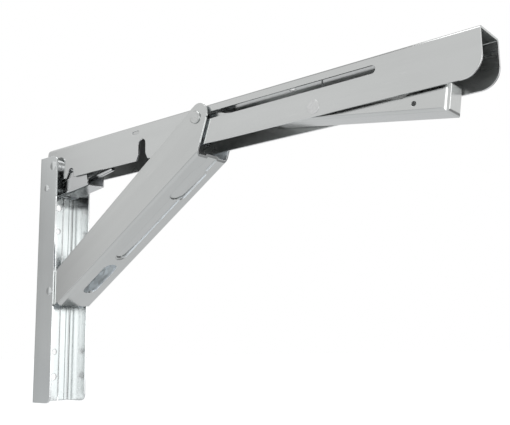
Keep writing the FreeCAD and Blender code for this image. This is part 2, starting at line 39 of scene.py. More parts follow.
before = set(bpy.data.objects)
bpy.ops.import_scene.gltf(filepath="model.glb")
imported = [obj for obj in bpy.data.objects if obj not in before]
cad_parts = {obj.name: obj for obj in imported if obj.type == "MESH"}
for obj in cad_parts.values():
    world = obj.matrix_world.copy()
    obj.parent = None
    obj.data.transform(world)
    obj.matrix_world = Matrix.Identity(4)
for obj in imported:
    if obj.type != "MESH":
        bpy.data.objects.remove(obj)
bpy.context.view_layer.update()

MM = 0.001

# Sheet and brace, as in the frame's solids

SHEET = 1.5 * MM
BRACE_SLOPE = math.radians(32.26)
BRACE_FOOT = Vector((22.0, 0, -14.5)) * MM
BRACE_WEB_DROP = 19.1 * MM
BRACE_INNER_HALF = 17.3 * MM
PRESS_DEPTH = 0.9 * MM
LEVER_TILT = math.radians(-5)
STOP_TILT = math.radians(7)

# Tongues in the brace's web: start along the brace, straight length and end radius, in millimetres

PRESSED_TONGUES = ((171.0, 26.0, 7.9), (84.0, 24.0, 5.0))
TONGUE_DEPTH = 1.0 * MM
CUTTER_HEIGHT = 3.0 * MM

# Brace rivets, with each step of the head from its rim inwards: width and rise, in millimetres

RIVET_STUB_RADIUS = 3.0 * MM
RIVET_RADIUS = 5.4 * MM
RIVET_HEIGHT = 1.1 * MM
RIVET_ROUNDING = 0.22 * MM
RIVET_RINGS = ((0.7, 0.35), (1.1, -0.25), (0.4, 0.0), (0.5, 0.2))

# Mesh work

ROUND_SIDES = 64
MERGE_DISTANCE = 0.000002
FLAT_ANGLE = math.radians(0.2)
SMOOTH_ANGLE = math.radians(25)

# Noise in the plating: scale, stretch along and across, detail, roughness, and the ends that become 0 and 1

SHEET_NOISE = {
    "lines": (1.0, (6.0, 900.0, 900.0), 4.0, 0.70, 0.30, 0.70),
    "broad": (1.0, (4.0, 110.0, 110.0), 2.0, 0.55, 0.35, 0.65),
    "clouds": (22.0, (0.6, 1.0, 1.0), 4.0, 0.55, 0.30, 0.70),
    "scratches": (1.0, (60.0, 1900.0, 1400.0), 1.0, 0.55, 0.70, 0.76),
    "patches": (35.0, (1.0, 1.0, 1.0), 1.0, 0.55, 0.52, 0.62)}

# Strength of each mark in the plating's tone: the edge tone is partly wear and partly a painted highlight,
# and the last strength is the painted shade in corners

LINE_TONE = 0.10
BROAD_TONE = 0.16
CLOUD_TONE = 0.14
SCRATCH_TONE = 0.20
EDGE_WEAR_AND_HIGHLIGHT = 0.65
CORNER_SHADE_STRENGTH = 0.5

# Strength of each mark in the plating's roughness

LINE_MIDDLE = 0.4
PATTERN_ROUGHNESS = 0.05
EDGE_ROUGHNESS = 0.10

# Colours of the wear, of the zinc inside the flanks, of the painted shade in corners, and of the edges, which
# are partly wear and partly a painted highlight

WHITE = (1, 1, 1, 1)
SCRATCH_COLOUR = (0.80, 0.80, 0.80, 1)
ZINC_COLOUR = (0.86, 0.92, 0.96, 1)
CORNER_SHADE_COLOUR = (0.10, 0.105, 0.105, 1)
EDGE_WEAR_AND_HIGHLIGHT_COLOUR = (0.86, 0.87, 0.88, 1)
TURNED_WEAR_AND_HIGHLIGHT_COLOUR = (0.85, 0.86, 0.87, 1)

# Reach of the zinc, of the painted shade in corners, and of the edges that are worn and carry a painted
# highlight

SPANGLE_SCALE = 260.0
SPANGLE_STRETCH = (0.5, 1.0, 1.0)
SPANGLE_DARK = 0.1
SPANGLE_BRIGHT = 0.7
SPANGLE_WEAKEST = 0.40
INNER_MARGIN = 0.3 * MM
SIDE_FACING = 0.7
CORNER_SHADE_REACH = 2.2 * MM
CORNER_SHADE_START = 0.985
CORNER_SHADE_FULL = 0.62
EDGE_START = 0.965
EDGE_FULL = 0.82
RELIEF_HEIGHT = 0.04 * MM
SHEET_RELIEF = 0.06
FINE_LINE_RELIEF = 0.6
RAY_SAMPLES = 8

# Turned steel: rings round the axis, and pits

RING_WAVES = 14000.0
RING_TONE = 0.05
RING_ROUGHNESS = 0.04
RING_RELIEF = 0.5
PIT_SCALE = 900.0
PIT_LOW = 0.30
PIT_HIGH = 0.60
PIT_TONE = 0.12
PIT_ROUGHNESS = -0.06
TURNED_BASE_TONE = 0.90
# Edges of the turned pieces brighten, partly as wear and partly as a painted highlight
TURNED_WEAR_AND_HIGHLIGHT = 0.6
TURNED_EDGE_SHARE = 0.6
TURNED_RELIEF = 0.15

# Roughness of the turned pieces

BRACE_RIVET_ROUGHNESS = 0.14
PIN_ROUGHNESS = 0.16
HUB_ROUGHNESS = 0.24
BUSH_ROUGHNESS = 0.28
WIRE_ROUGHNESS = 0.30

# Sockets of the Mix node when it mixes colours

MIX_FACTOR = 0
MIX_FIRST = 6
MIX_SECOND = 7
MIX_RESULT = 2

# Camera: its place in metres, then yaw, pitch and roll in degrees

CAMERA_POINT = Vector((618.8, -439.2, -67.0)) * MM
CAMERA_TURN = (-39.15, 10.16, -0.94)
SENSOR_WIDTH = 36.0

# Lamps: name, place, the point that it faces, and the side of its square, in metres

LAMPS = (
    ("key", (0.25, -0.75, 1.75), (0.2, 0, 0.0), 1.2),
    ("fill", (4.90, 3.40, 0.30), (0.0, 0, 0.0), 1.35),
    ("front", (1.30, -0.96, -0.02), (0.22, 0, 0.05), 0.8))

# Dark places of the studio: azimuth, elevation, inner and outer radius in degrees, and the tone

DARK_PLACES = (
    (198, 5, 15.0, 20.5, 0.42),
    (54, -10, 9, 15, 0.12),
    (0, 90, 25, 55, 0.45))

# Floor and surroundings

FLOOR_RADIUS = 30
FLOOR_SIDES = 96
FLOOR_MIDDLE_X = 0.2
FLOOR_ROUGHNESS = 0.9
FLOOR_GRAIN = 0.02
GRAIN_SCALE = 60.0
GRAIN_LOW = 0.3
GRAIN_HIGH = 0.7
GLOW_SEEN = 0.60
GLOW_REFLECTED = 0.25
LIGHTING_TONE = (0.55, 0.56, 0.57, 1)


# Settings

class BracketFinish(bpy.types.PropertyGroup):
    """Colours and finish of the plated steel."""

    wall_colour: bpy.props.FloatVectorProperty(
        name="Wall channel", description="Plating colour of the channel on the wall",
        subtype="COLOR", size=3, min=0, max=1, default=(0.600, 0.618, 0.618))
    arm_colour: bpy.props.FloatVectorProperty(
        name="Arm", description="Plating colour of the shelf arm",
        subtype="COLOR", size=3, min=0, max=1, default=(0.530, 0.540, 0.536))
    brace_colour: bpy.props.FloatVectorProperty(
        name="Brace", description="Plating colour of the brace",
        subtype="COLOR", size=3, min=0, max=1, default=(0.505, 0.515, 0.510))
    lever_colour: bpy.props.FloatVectorProperty(
        name="Release lever", description="Plating colour of the release lever",
        subtype="COLOR", size=3, min=0, max=1, default=(0.535, 0.545, 0.540))
    stop_colour: bpy.props.FloatVectorProperty(
        name="Stop lever", description="Plating colour of the stop lever",
        subtype="COLOR", size=3, min=0, max=1, default=(0.530, 0.538, 0.540))
    rivet_colour: bpy.props.FloatVectorProperty(
        name="Rivets and rod", description="Colour of the lever's rivet and the stop rod",
        subtype="COLOR", size=3, min=0, max=1, default=(0.560, 0.565, 0.565))
    bush_colour: bpy.props.FloatVectorProperty(
        name="Bushes and washers", description="Colour of the bushes, washers, spacers and the hub",
        subtype="COLOR", size=3, min=0, max=1, default=(0.480, 0.485, 0.490))
    spring_colour: bpy.props.FloatVectorProperty(
        name="Spring wire", description="Colour of the lever's torsion spring",
        subtype="COLOR", size=3, min=0, max=1, default=(0.300, 0.305, 0.310))
    polish: bpy.props.FloatProperty(
        name="Roughness", description="How dull the flat faces of the sheet are",
        subtype="FACTOR", min=0.02, max=1, default=0.11)
    line_depth: bpy.props.FloatProperty(
        name="Rolling lines", description="How strongly the sheet's lengthwise rolling lines show",
        subtype="FACTOR", min=0, max=1, default=0.30)
    # The edge radius also sets the width of the edges' wear and painted highlight
    edge_radius: bpy.props.FloatProperty(
        name="Edge rounding", description="Radius of the worn, tumbled edges",
        subtype="DISTANCE", unit="LENGTH", min=0.0001, max=0.002, default=0.0005)


class BracketStage(bpy.types.PropertyGroup):
    """Camera, floor and lamps."""

    lens: bpy.props.FloatProperty(
        name="Lens", description="Focal length on a 36 mm sensor",
        subtype="DISTANCE_CAMERA", unit="CAMERA", min=20, max=200, default=51.558)
    floor_drop: bpy.props.FloatProperty(
        name="Floor height", description="Height of the floor below the middle of the wall channel",
        subtype="DISTANCE", unit="LENGTH", min=0.13, max=3, default=0.55)
    floor_colour: bpy.props.FloatVectorProperty(
        name="Floor", description="Colour of the floor",
        subtype="COLOR", size=3, min=0, max=1, default=(0.86, 0.86, 0.86))
    key_power: bpy.props.FloatProperty(
        name="Key lamp", description="Power of the large lamp above the near side",
        subtype="POWER", unit="POWER", min=0, max=500, default=12)
    fill_power: bpy.props.FloatProperty(
        name="Fill lamp", description="Power of the wide lamp far beyond the arm's end, on the far side",
        subtype="POWER", unit="POWER", min=0, max=500, default=13.0)
    front_power: bpy.props.FloatProperty(
        name="Front lamp", description="Power of the wide lamp on the camera's side",
        subtype="POWER", unit="POWER", min=0, max=500, default=4.0)


# Shader nodes

def feed(tree, socket, value):
    """Links a socket to another one, or sets its own value."""
    if isinstance(value, bpy.types.NodeSocket):
        tree.links.new(value, socket)
    else:
        socket.default_value = value


def add(tree, kind, inputs=None, **settings):
    """A node with its settings, and with sockets or values fed into its inputs."""
    node = tree.nodes.new(kind)
    for key, value in settings.items():
        setattr(node, key, value)
    for key, value in (inputs or {}).items():
        feed(tree, node.inputs[key], value)
    return node


def new_group(name, inputs, outputs):
    """An empty shader group with named sockets, its inner inputs and its inner outputs."""
    group = bpy.data.node_groups.new(name, "ShaderNodeTree")
    for direction, sockets in (("INPUT", inputs), ("OUTPUT", outputs)):
        for label, kind in sockets.items():
            group.interface.new_socket(label, in_out=direction, socket_type="NodeSocket" + kind)
    return group, add(group, "NodeGroupInput").outputs, add(group, "NodeGroupOutput").inputs


def math_node(tree, operation, first, second=None, clamp=False):
    """The result of a Math node on sockets or numbers."""
    node = add(tree, "ShaderNodeMath", {0: first}, operation=operation, use_clamp=clamp)
    if second is not None:
        feed(tree, node.inputs[1], second)
    return node.outputs[0]


def plus(tree, first, second, clamp=False):
    """The sum of two sockets or numbers."""
    return math_node(tree, "ADD", first, second, clamp)


def minus(tree, first, second):
    """The difference of two sockets or numbers."""
    return math_node(tree, "SUBTRACT", first, second)


def times(tree, first, second):
    """The product of two sockets or numbers."""
    return math_node(tree, "MULTIPLY", first, second)


def around_middle(tree, mask, amount, strength):
    """A mask made to lighten and darken evenly: its distance from a half, times an amount and a strength."""
    return times(tree, times(tree, minus(tree, mask, 0.5), amount), strength)


def vector_node(tree, operation, first, second=None):
    """The result of a Vector Math node, which is a number for DOT_PRODUCT and LENGTH."""
    node = add(tree, "ShaderNodeVectorMath", {0: first}, operation=operation)
    if second is not None:
        feed(tree, node.inputs["Scale" if operation == "SCALE" else 1], second)
    return node.outputs["Value" if operation in ("DOT_PRODUCT", "LENGTH") else "Vector"]


def y_part(tree, vector):
    """The size of a vector's part across the bracket."""
    return math_node(tree, "ABSOLUTE", add(tree, "ShaderNodeSeparateXYZ", {0: vector}).outputs["Y"])


def map_range(tree, value, low, high, to_low=0.0, to_high=1.0):
    """A clamped Map Range."""
    return add(tree, "ShaderNodeMapRange", {
        "Value": value, "From Min": low, "From Max": high, "To Min": to_low, "To Max": to_high}).outputs[0]


def mix_colour(tree, factor, first, second):
    """Mix of two colours, each a socket or a value."""
    node = add(tree, "ShaderNodeMix", {
        MIX_FACTOR: factor, MIX_FIRST: first, MIX_SECOND: second}, data_type="RGBA")
    return node.outputs[MIX_RESULT]


def noise_mask(tree, vector, scale, stretch, detail, rough, low, high):
    """Stretched noise, spread from 0 to 1 between its low and high ends."""
    place = add(tree, "ShaderNodeMapping", {"Vector": vector, "Scale": stretch})
    noise = add(tree, "ShaderNodeTexNoise", {
        "Vector": place.outputs[0], "Scale": scale, "Detail": detail, "Roughness": rough})
    return map_range(tree, noise.outputs["Fac"], low, high)


# Finishes that several materials share

def edge_group():
    """Normals rounded over the edges, and a mask that is 1 on them."""
    group, enter, leave = new_group("worn_edges", {"Radius": "Float"}, {"Normal": "Vector", "Edge": "Float"})
    bevel = add(group, "ShaderNodeBevel", {"Radius": enter["Radius"]}, samples=RAY_SAMPLES)
    geometry = add(group, "ShaderNodeNewGeometry")
    flatness = vector_node(group, "DOT_PRODUCT", bevel.outputs[0], geometry.outputs["Normal"])
    feed(group, leave["Normal"], bevel.outputs[0])
    feed(group, leave["Edge"], map_range(group, flatness, EDGE_START, EDGE_FULL))
    return group


def inner_faces(tree, vector, half):
    """1 on the inner faces of a channel's flanks, half a width from its middle plane."""
    normal = add(tree, "ShaderNodeNewGeometry").outputs["True Normal"]
    within = math_node(tree, "LESS_THAN", y_part(tree, vector), plus(tree, half, INNER_MARGIN))
    return times(tree, within, math_node(tree, "GREATER_THAN", y_part(tree, normal), SIDE_FACING))


def zinc_spangle(tree, vector):
    """Crystals of the zinc, each of one brightness."""
    place = add(tree, "ShaderNodeMapping", {"Vector": vector, "Scale": SPANGLE_STRETCH})
    crystals = add(tree, "ShaderNodeTexVoronoi", {"Vector": place.outputs[0], "Scale": SPANGLE_SCALE})
    brightness = add(tree, "ShaderNodeSeparateXYZ", {0: crystals.outputs["Color"]}).outputs["X"]
    return map_range(tree, brightness, SPANGLE_DARK, SPANGLE_BRIGHT, SPANGLE_WEAKEST, 1.0)


def add_relief(tree, height, strength, edges, leave):
    """Fine relief on top of the rounded edges."""
    bump = add(tree, "ShaderNodeBump", {
        "Strength": strength, "Distance": RELIEF_HEIGHT, "Height": height, "Normal": edges["Normal"]})
    feed(tree, leave["Normal"], bump.outputs["Normal"])


def sheet_group():
    """Rolled and plated sheet: lines, clouds, faint scratches, edges brightened partly as wear and partly as
    a painted highlight, painted shade in corners, and zinc inside the flanks.
    """
    group, enter, leave = new_group(
        "plated_sheet",
        {"Vector": "Vector", "Colour": "Color", "Roughness": "Float", "Lines": "Float", "Clouds": "Float",
         "Radius": "Float", "Grime": "Float", "Inner Half": "Float", "Inner Dullness": "Float",
         "Inner Spangle": "Float"},
        {"Colour": "Color", "Roughness": "Float", "Normal": "Vector", "Metallic": "Float"})
    edges = add(group, "ShaderNodeGroup", {"Radius": enter["Radius"]}, node_tree=effect("edges"))
    inside = inner_faces(group, enter["Vector"], enter["Inner Half"])
    masks = {name: noise_mask(group, enter["Vector"], *values) for name, values in SHEET_NOISE.items()}
    lines = masks["lines"]
    broad = masks["broad"]
    clouds = masks["clouds"]

    tone = plus(group, around_middle(group, lines, enter["Lines"], LINE_TONE),
                around_middle(group, broad, enter["Lines"], BROAD_TONE))
    tone = plus(group, tone, around_middle(group, clouds, enter["Clouds"], CLOUD_TONE))
    colour = vector_node(group, "SCALE", enter["Colour"], plus(group, tone, 1.0))
    scratches = times(group, masks["scratches"], masks["patches"])
    colour = mix_colour(group, times(group, scratches, SCRATCH_TONE), colour, SCRATCH_COLOUR)
    zinc = times(group, times(group, zinc_spangle(group, enter["Vector"]), inside), enter["Inner Spangle"])
    colour = mix_colour(group, zinc, colour, ZINC_COLOUR)
    # Painted shade: the colour darkens towards dark grey in corners and recesses, by ambient occlusion
    corners = add(group, "ShaderNodeAmbientOcclusion", {
        "Distance": CORNER_SHADE_REACH}, samples=RAY_SAMPLES, only_local=True)
    corner_shade = times(group, map_range(group, corners.outputs["AO"], CORNER_SHADE_START, CORNER_SHADE_FULL), enter["Grime"])
    colour = mix_colour(group, corner_shade, colour, CORNER_SHADE_COLOUR)
    # Edges brighten in the colour: partly wear, partly a painted highlight
    colour = mix_colour(group, times(group, edges.outputs["Edge"], EDGE_WEAR_AND_HIGHLIGHT), colour, EDGE_WEAR_AND_HIGHLIGHT_COLOUR)
    feed(group, leave["Colour"], colour)
    feed(group, leave["Metallic"], minus(group, 1.0, zinc))

    rough = plus(group, enter["Roughness"], times(group, minus(group, lines, LINE_MIDDLE), PATTERN_ROUGHNESS))
    rough = plus(group, rough, times(group, clouds, PATTERN_ROUGHNESS))
    dulled = times(group, inside, enter["Inner Dullness"])
    rough = plus(group, rough, times(group, dulled, plus(group, clouds, 0.5)))
    rough = plus(group, rough, times(group, edges.outputs["Edge"], EDGE_ROUGHNESS), clamp=True)
    feed(group, leave["Roughness"], rough)

    height = plus(group, times(group, lines, FINE_LINE_RELIEF), broad)
    add_relief(group, height, SHEET_RELIEF, edges.outputs, leave)
    return group


def turned_group():
    """Turned or headed steel: fine rings round its axis, small pits, and edges brightened partly as wear and
    partly as a painted highlight.
    """
    group, enter, leave = new_group(
        "turned_steel",
        {"Vector": "Vector", "Colour": "Color", "Roughness": "Float", "Radius": "Float"},
        {"Colour": "Color", "Roughness": "Float", "Normal": "Vector"})
    edges = add(group, "ShaderNodeGroup", {"Radius": enter["Radius"]}, node_tree=effect("edges"))
    off_axis = vector_node(group, "MULTIPLY", enter["Vector"], (1.0, 0.0, 1.0))
    waves = math_node(group, "SINE", times(group, vector_node(group, "LENGTH", off_axis), RING_WAVES))
    rings = map_range(group, waves, -1.0, 1.0)
    pitting = add(group, "ShaderNodeTexNoise", {"Vector": enter["Vector"], "Scale": PIT_SCALE, "Detail": 3.0})
    pits = map_range(group, pitting.outputs["Fac"], PIT_LOW, PIT_HIGH)

    tone = plus(group, times(group, rings, RING_TONE), times(group, pits, PIT_TONE))
    colour = vector_node(group, "SCALE", enter["Colour"], plus(group, tone, TURNED_BASE_TONE))
    # Edges brighten in the colour: partly wear, partly a painted highlight
    colour = mix_colour(group, times(group, edges.outputs["Edge"], TURNED_WEAR_AND_HIGHLIGHT), colour, TURNED_WEAR_AND_HIGHLIGHT_COLOUR)
    feed(group, leave["Colour"], colour)

    rough = plus(group, enter["Roughness"], times(group, pits, PIT_ROUGHNESS))
    rough = plus(group, rough, times(group, rings, RING_ROUGHNESS), clamp=True)
    feed(group, leave["Roughness"], rough)

    height = plus(group, pits, times(group, rings, RING_RELIEF))
    add_relief(group, height, TURNED_RELIEF, edges.outputs, leave)
    return group


EFFECTS = {}


def effect(name):
    """The named node group, built the first time it is asked for."""
    makers = {"edges": edge_group, "sheet": sheet_group, "turned": turned_group}
    if name not in EFFECTS:
        EFFECTS[name] = makers[name]()
    return EFFECTS[name]


# Materials

def metal(name, finish_name, values, centre, tilt=0.0):
    """A metal material: Object coordinates, centred and tilted, through one of the shared finishes."""
    material = bpy.data.materials.new(name)
    material.use_nodes = True
    tree = material.node_tree
    shader = tree.nodes["Principled BSDF"].inputs
    coordinates = add(tree, "ShaderNodeTexCoord")
    place = add(tree, "ShaderNodeMapping", {
        "Vector": coordinates.outputs["Object"], "Location": centre, "Rotation": (0, tilt, 0)},
        vector_type="TEXTURE")
    finish = add(tree, "ShaderNodeGroup", {
        "Vector": place.outputs[0], **values}, node_tree=effect(finish_name))
    feed(tree, shader["Base Color"], finish.outputs["Colour"])
    feed(tree, shader["Roughness"], finish.outputs["Roughness"])
    feed(tree, shader["Normal"], finish.outputs["Normal"])
    feed(tree, shader["Metallic"], finish.outputs["Metallic"] if values.get("Inner Spangle") else 1.0)
    return material


def middle(node):
    """The middle of a CAD node's box."""
    low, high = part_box(node)
    return (low + high) / 2


def inner_half(node):
    """Half the width between a channel's flanks."""
    low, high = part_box(node)
    return (high.y - low.y) / 2 - SHEET


def sheet_metal(
        name, node, colour, lines, clouds, tilt=0.0, dullness=0.0, inner_dullness=0.0, inner_spangle=0.0):
    """Plated sheet for a channel, with the rolling lines along its own length."""
    look = bpy.context.scene.bracket_finish
    values = {
        "Colour": (*colour, 1), "Roughness": look.polish + dullness, "Lines": look.line_depth * lines,
        "Clouds": clouds, "Radius": look.edge_radius, "Grime": CORNER_SHADE_STRENGTH,
        "Inner Half": inner_half(node), "Inner Dullness": inner_dullness, "Inner Spangle": inner_spangle}
    return metal(name, "sheet", values, (0, middle(node).y, 0), tilt)


def turned_metal(name, colour, roughness, centre):
    """Turned steel whose rings are centred on the pin's own axis, which runs along Y."""
    look = bpy.context.scene.bracket_finish
    values = {"Colour": (*colour, 1), "Roughness": roughness, "Radius": look.edge_radius * TURNED_EDGE_SHARE}
    return metal(name, "turned", values, centre)


def dress(node, material):
    """Gives a CAD node its material in its own slots."""
    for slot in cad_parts[node].material_slots:
        slot.material = material


# Mesh work

def pick_one(piece):
    """Selects one object alone and makes it active."""
    bpy.ops.object.select_all(action="DESELECT")
    piece.select_set(True)
    bpy.context.view_layer.objects.active = piece


def copy_node(node, name):
    """A merged copy of a CAD node's mesh, as a new object at the origin."""
    piece = bpy.data.objects.new(name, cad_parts[node].data.copy())
    bpy.context.scene.collection.objects.link(piece)
    pick_one(piece)
    bpy.ops.object.mode_set(mode="EDIT")
    bpy.ops.mesh.select_all(action="SELECT")
    bpy.ops.mesh.remove_doubles(threshold=MERGE_DISTANCE)
    bpy.ops.mesh.dissolve_limited(angle_limit=FLAT_ANGLE)
    bpy.ops.object.mode_set(mode="OBJECT")
    return piece


def edit_where(piece, kind, test):
    """Opens a piece in edit mode, with only those vertices or faces selected that pass a test."""
    bpy.ops.object.mode_set(mode="EDIT")
    bpy.ops.mesh.select_mode(type=kind)
    bpy.ops.mesh.select_all(action="DESELECT")
    bpy.ops.object.mode_set(mode="OBJECT")
    for element in piece.data.vertices if kind == "VERT" else piece.data.polygons:
        element.select = test(element)
    bpy.ops.object.mode_set(mode="EDIT")


def extrude(move):
    """Extrudes what is selected and moves it."""
    bpy.ops.mesh.extrude_region_move(TRANSFORM_OT_translate={"value": move})


def close_edit():
    """Turns all faces outwards and leaves edit mode."""
    bpy.ops.mesh.select_all(action="SELECT")
    bpy.ops.mesh.normals_make_consistent(inside=False)
    bpy.ops.object.mode_set(mode="OBJECT")


def apply_modifier(piece, kind, **settings):
    """Adds a modifier with its settings and applies it."""
    pick_one(piece)
    modifier = piece.modifiers.new(kind, kind)
    for key, value in settings.items():
        setattr(modifier, key, value)
    bpy.ops.object.modifier_apply(modifier=modifier.name)


def finish_shape(piece):
    """Smooth shading over the bends, with crisp cut edges."""
    pick_one(piece)
    bpy.ops.object.shade_smooth_by_angle(angle=SMOOTH_ANGLE)
    apply_modifier(piece, "WEIGHTED_NORMAL", mode="FACE_AREA", weight=100, keep_sharp=True)


def placed_axes(place, x_axis, y_axis, z_axis):
    """The matrix that puts an object at a place, with its axes along three directions."""
    return Matrix.Translation(place) @ Matrix((x_axis, y_axis, z_axis)).transposed().to_4x4()


def press_tongue(brace, start, length, radius):
    """Sinks a round-ended tongue into the web, deepest at its lower end and running out towards the head."""
    bpy.ops.object.select_all(action="DESELECT")
    bpy.ops.mesh.primitive_circle_add(
        vertices=ROUND_SIDES, radius=radius, fill_type="NGON", location=(0, 0, 0))
    cutter = bpy.context.active_object
    edit_where(cutter, "VERT", lambda vertex: vertex.co.x > radius * 0.01)
    bpy.ops.transform.translate(value=(length, 0, 0))
    bpy.ops.mesh.select_all(action="SELECT")
    extrude((0, 0, CUTTER_HEIGHT))
    close_edit()

    along = Vector((math.cos(BRACE_SLOPE), 0, math.sin(BRACE_SLOPE)))
    outward = Vector((math.sin(BRACE_SLOPE), 0, -math.cos(BRACE_SLOPE)))
    tilt = math.atan(TONGUE_DEPTH / (length + radius))
    floor_along = along * math.cos(tilt) + outward * math.sin(tilt)
    floor_outward = outward * math.cos(tilt) - along * math.sin(tilt)
    place = BRACE_FOOT + along * start + outward * (BRACE_WEB_DROP - PRESS_DEPTH - TONGUE_DEPTH)
    cutter.matrix_world = placed_axes(place, floor_along, floor_outward.cross(floor_along), floor_outward)

    uncut = len(brace.data.vertices)
    apply_modifier(brace, "BOOLEAN", operation="DIFFERENCE", solver="EXACT", object=cutter)
    if len(brace.data.vertices) <= uncut:
        raise RuntimeError("a tongue missed the brace's web")
    bpy.data.objects.remove(cutter, do_unlink=True)


def rivet_head(name, centre, side):
    """A stepped rivet: a stub through the sheet, a broad flat head, and a ring groove round its middle."""
    bpy.ops.object.select_all(action="DESELECT")
    bpy.ops.mesh.primitive_cylinder_add(
        vertices=ROUND_SIDES, radius=RIVET_STUB_RADIUS, depth=SHEET,
        location=(centre.x, side * (BRACE_INNER_HALF + SHEET / 2), centre.z),
        rotation=(math.radians(-90 * side), 0, 0))
    piece = bpy.context.active_object
    piece.name = name
    bpy.ops.object.transform_apply(location=True, rotation=True, scale=True)
    edit_where(piece, "FACE", lambda face: face.normal.y * side > 0.9)
    extrude((0, 0, 0))
    widen = RIVET_RADIUS / RIVET_STUB_RADIUS
    bpy.ops.transform.resize(
        value=(widen, 1, widen), center_override=(centre.x, side * (BRACE_INNER_HALF + SHEET), centre.z))
    extrude((0, side * RIVET_HEIGHT, 0))
    for ring, rise in RIVET_RINGS:
        bpy.ops.mesh.inset(thickness=ring * MM)
        bpy.ops.transform.translate(value=(0, side * rise * MM, 0))
    close_edit()
    apply_modifier(piece, "BEVEL", width=RIVET_ROUNDING, segments=2, limit_method="ANGLE")
    finish_shape(piece)
    return piece


# Stage

def camera_place():
    """The camera's place, from its point and its yaw, pitch and roll."""
    yaw, pitch, roll = (math.radians(angle) for angle in CAMERA_TURN)
    up = Vector((0, 0, 1))
    ahead = Vector((math.sin(yaw), math.cos(yaw), 0))
    side = Vector((math.cos(yaw), -math.sin(yaw), 0))
    forward = ahead * math.cos(pitch) + up * math.sin(pitch)
    upward = up * math.cos(pitch) - ahead * math.sin(pitch)
    right = side * math.cos(roll) + upward * math.sin(roll)
    top = upward * math.cos(roll) - side * math.sin(roll)
    return placed_axes(CAMERA_POINT, right, top, -forward)


def add_camera(lens):
    """The camera at the photograph's viewing angle."""
    camera = bpy.data.cameras.new("camera")
    camera.sensor_fit = "HORIZONTAL"
    camera.sensor_width = SENSOR_WIDTH
    camera.lens = lens
    camera.clip_start = 0.01
    camera.clip_end = 200
    view = bpy.data.objects.new("camera", camera)
    bpy.context.scene.collection.objects.link(view)
    view.matrix_world = camera_place()
    return view


def add_lamp(name, place, target, size, power):
    """A soft square lamp that looks at a point."""
    light = bpy.data.lights.new(name, "AREA")
    light.shape = "SQUARE"
    light.size = size
    light.energy = power
    body = bpy.data.objects.new(name, light)
    bpy.context.scene.collection.objects.link(body)
    body.location = place
    body.visible_camera = False
    body.rotation_euler = (Vector(target) - Vector(place)).to_track_quat("-Z", "Y").to_euler()


def room_tone(tree, direction):
    """The studio's darker places, as a tone by direction from the middle of the part."""
    unit = vector_node(tree, "NORMALIZE", direction)
    tone = 1.0
    for azimuth, elevation, near, far, shade in DARK_PLACES:
        turn = math.radians(azimuth)
        rise = math.radians(elevation)
        toward = Vector((math.cos(turn) * math.cos(rise), math.sin(turn) * math.cos(rise), math.sin(rise)))
        nearness = vector_node(tree, "DOT_PRODUCT", unit, toward)
        spot = map_range(
            tree, nearness, math.cos(math.radians(far)), math.cos(math.radians(near)), 1.0, shade)
        tone = times(tree, tone, spot)
    return tone


def floor_material(colour):
    """A pale floor that keeps the shadow, and shows the studio's dark places in reflections alone."""
    material = bpy.data.materials.new("floor_paper")
    material.use_nodes = True
    tree = material.node_tree
    place = add(tree, "ShaderNodeTexCoord").outputs["Object"]
    grain = add(tree, "ShaderNodeTexNoise", {"Vector": place, "Scale": GRAIN_SCALE, "Detail": 2.0})
    speckle = map_range(tree, grain.outputs["Fac"], GRAIN_LOW, GRAIN_HIGH)
    lighter = (*(channel + FLOOR_GRAIN for channel in colour), 1)
    pale = mix_colour(tree, speckle, (*colour, 1), lighter)
    path = add(tree, "ShaderNodeLightPath").outputs
    tone = math_node(tree, "MAXIMUM", room_tone(tree, place), minus(tree, 1.0, path["Is Glossy Ray"]))
    reflected = math_node(tree, "MAXIMUM", path["Is Glossy Ray"], path["Is Transmission Ray"])
    glow = plus(tree, times(tree, path["Is Camera Ray"], GLOW_SEEN), times(tree, reflected, GLOW_REFLECTED))
    shader = tree.nodes["Principled BSDF"].inputs
    feed(tree, shader["Base Color"], vector_node(tree, "SCALE", pale, tone))
    feed(tree, shader["Roughness"], FLOOR_ROUGHNESS)
    feed(tree, shader["Specular IOR Level"], 0.0)
    feed(tree, shader["Emission Color"], WHITE)
    feed(tree, shader["Emission Strength"], glow)
    return material


def add_floor(drop, colour):
    """A wide round floor below the part."""
    bpy.ops.object.select_all(action="DESELECT")
    bpy.ops.mesh.primitive_circle_add(
        vertices=FLOOR_SIDES, radius=FLOOR_RADIUS, fill_type="NGON", location=(FLOOR_MIDDLE_X, 0, -drop))
    floor = bpy.context.active_object
    floor.name = "floor"
    bpy.ops.object.transform_apply(location=True, rotation=False, scale=False)
    floor.data.materials.append(floor_material(colour))


def surroundings():
    """A plain world: white where it is seen, with dark places in reflections, softer where it lights."""
    world = bpy.data.worlds.new("surroundings")
    world.use_nodes = True
    tree = world.node_tree
    path = add(tree, "ShaderNodeLightPath").outputs
    tone = room_tone(tree, add(tree, "ShaderNodeTexCoord").outputs["Generated"])
    room = add(tree, "ShaderNodeCombineXYZ", {"X": tone, "Y": tone, "Z": tone})
    pale = mix_colour(tree, path["Is Glossy Ray"], WHITE, room.outputs[0])
    seen = math_node(tree, "MAXIMUM", path["Is Camera Ray"], path["Is Glossy Ray"])
    seen = math_node(tree, "MAXIMUM", seen, path["Is Transmission Ray"])
    background = tree.nodes["Background"].inputs
    feed(tree, background["Color"], mix_colour(tree, seen, LIGHTING_TONE, pale))
    feed(tree, background["Strength"], 1.0)
    return world


# Operators

class BRACKET_OT_wall_channel(bpy.types.Operator):
    """Finishes the ribbed channel that is screwed to the wall"""
    bl_idname = "bracket.wall_channel"
    bl_label = "Wall channel"

    def execute(self, context):
        look = context.scene.bracket_finish
        dress("wall_channel", sheet_metal(
            "wall_plating", "wall_channel", look.wall_colour, lines=0.7, clouds=0.3,
            tilt=math.radians(90), inner_dullness=0.06))
        return {"FINISHED"}


